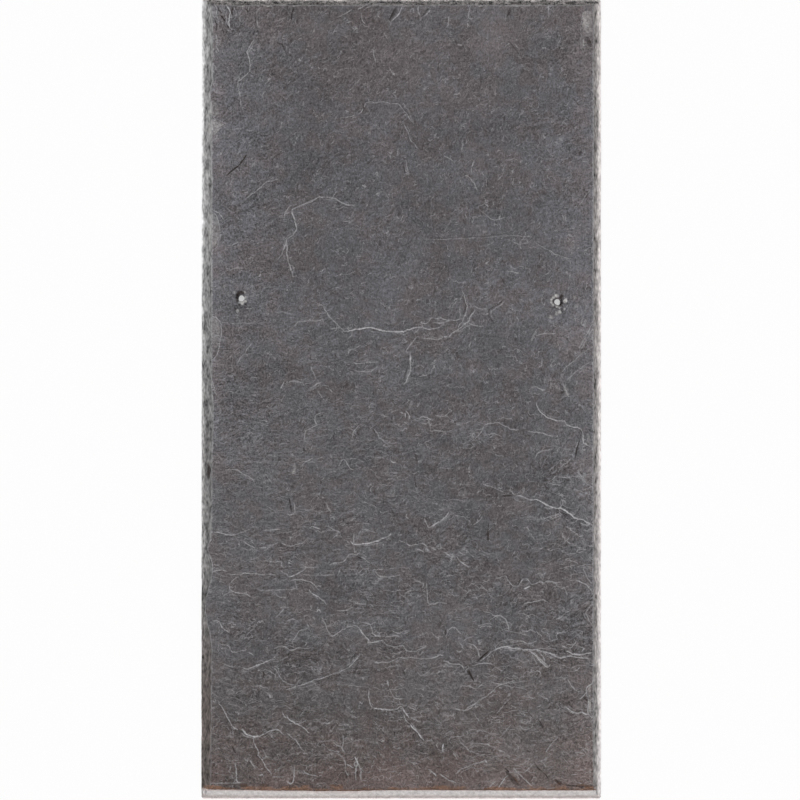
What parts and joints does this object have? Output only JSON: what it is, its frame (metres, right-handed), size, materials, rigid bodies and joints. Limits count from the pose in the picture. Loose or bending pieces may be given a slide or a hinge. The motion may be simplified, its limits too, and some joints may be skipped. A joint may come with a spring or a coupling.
{
  "type": "slate roof tile",
  "caption": "Rectangular riven slate for a pitched roof, with dressed bevelled edges and a pair of punched nail holes above its middle.",
  "frame": {"origin": "middle of the bed, the flat side that lies on the battens or on the floor", "axes": "+Y along the slate towards its head, +X across it, +Z out of the weathering face"},
  "size_m": [0.25, 0.5, 0.006],
  "materials": {
    "slate": "matte"
  },
  "bodies": {
    "root": {"slate_tile": "slate"}
  },
  "joints": []
}
